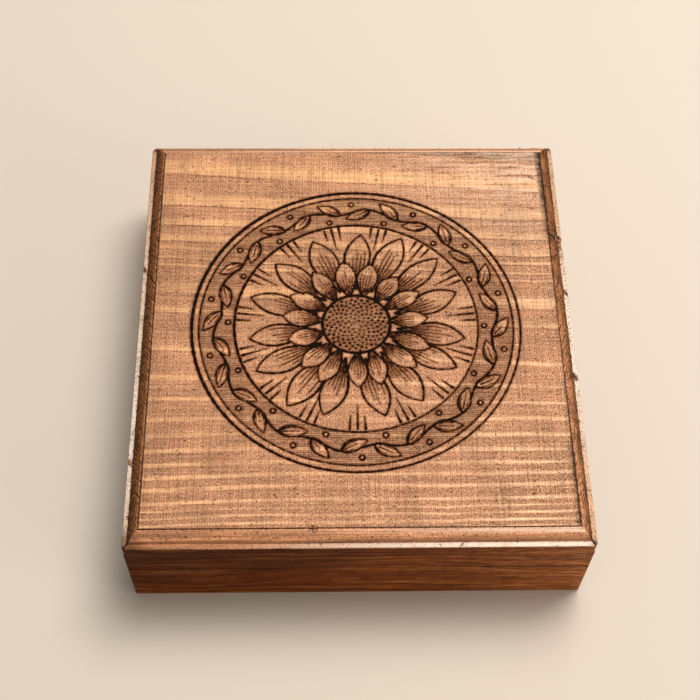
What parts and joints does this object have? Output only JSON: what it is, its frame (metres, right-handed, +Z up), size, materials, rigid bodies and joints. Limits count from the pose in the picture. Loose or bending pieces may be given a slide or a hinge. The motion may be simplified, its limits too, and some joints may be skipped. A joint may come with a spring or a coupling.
{
  "type": "jewelry box",
  "caption": "Shallow square-cornered wooden jewelry box with a hinged lid, a moulded edge round an engraved top, lined compartments and padded ring rolls.",
  "frame": {"origin": "middle of the box's footprint, on the surface that it stands on", "axes": "+X to the right seen from the front, +Y to the back where the hinges are, +Z up"},
  "size_m": [0.165, 0.178, 0.0458],
  "materials": {
    "top_board_wood": "stained pine, satin",
    "long_grain_wood": "stained pine, satin",
    "side_wood": "stained pine, satin",
    "bottom_wood": "birch plywood, sanded",
    "divider_wood": "stained pine, satin",
    "long_divider_wood": "stained pine, satin",
    "felt": "wool felt",
    "roll_cloth": "velvet",
    "lining_cloth": "velvet",
    "brass": "polished and lacquered",
    "screw_brass": "turned",
    "nickel": "nickel plate"
  },
  "bodies": {
    "tray": {"tray_front_board": "long_grain_wood", "tray_back_board": "long_grain_wood", "tray_left_board": "side_wood", "tray_right_board": "side_wood", "tray_bottom": "bottom_wood", "cross_divider": "divider_wood", "long_divider": "long_divider_wood", "short_divider": "divider_wood", "ring_bay_felt": "felt", "left_bay_felt": "felt", "middle_bay_felt": "felt", "back_bay_felt": "felt", "ring_roll_1": "roll_cloth", "ring_roll_2": "roll_cloth", "ring_roll_3": "roll_cloth", "ring_roll_4": "roll_cloth", "ring_roll_5": "roll_cloth", "tray_magnets": "nickel", "left_hinge_tray_leaf": "brass", "left_hinge_pin": "brass", "right_hinge_tray_leaf": "brass", "right_hinge_pin": "brass", "tray_hinge_screws": "screw_brass"},
    "lid": {"lid_board": "top_board_wood", "lid_front_rail": "long_grain_wood", "lid_back_rail": "long_grain_wood", "lid_left_rail": "side_wood", "lid_right_rail": "side_wood", "lid_lining": "lining_cloth", "lid_magnets": "nickel", "left_hinge_lid_leaf": "brass", "right_hinge_lid_leaf": "brass", "lid_hinge_screws": "screw_brass"}
  },
  "joints": [
    {"name": "lid_hinge", "type": "hinge", "parent": "tray", "child": "lid", "pos_m": [0, 0.0857, 0.0238], "axis": [-1, 0, 0], "range_deg": [0, 100]}
  ]
}
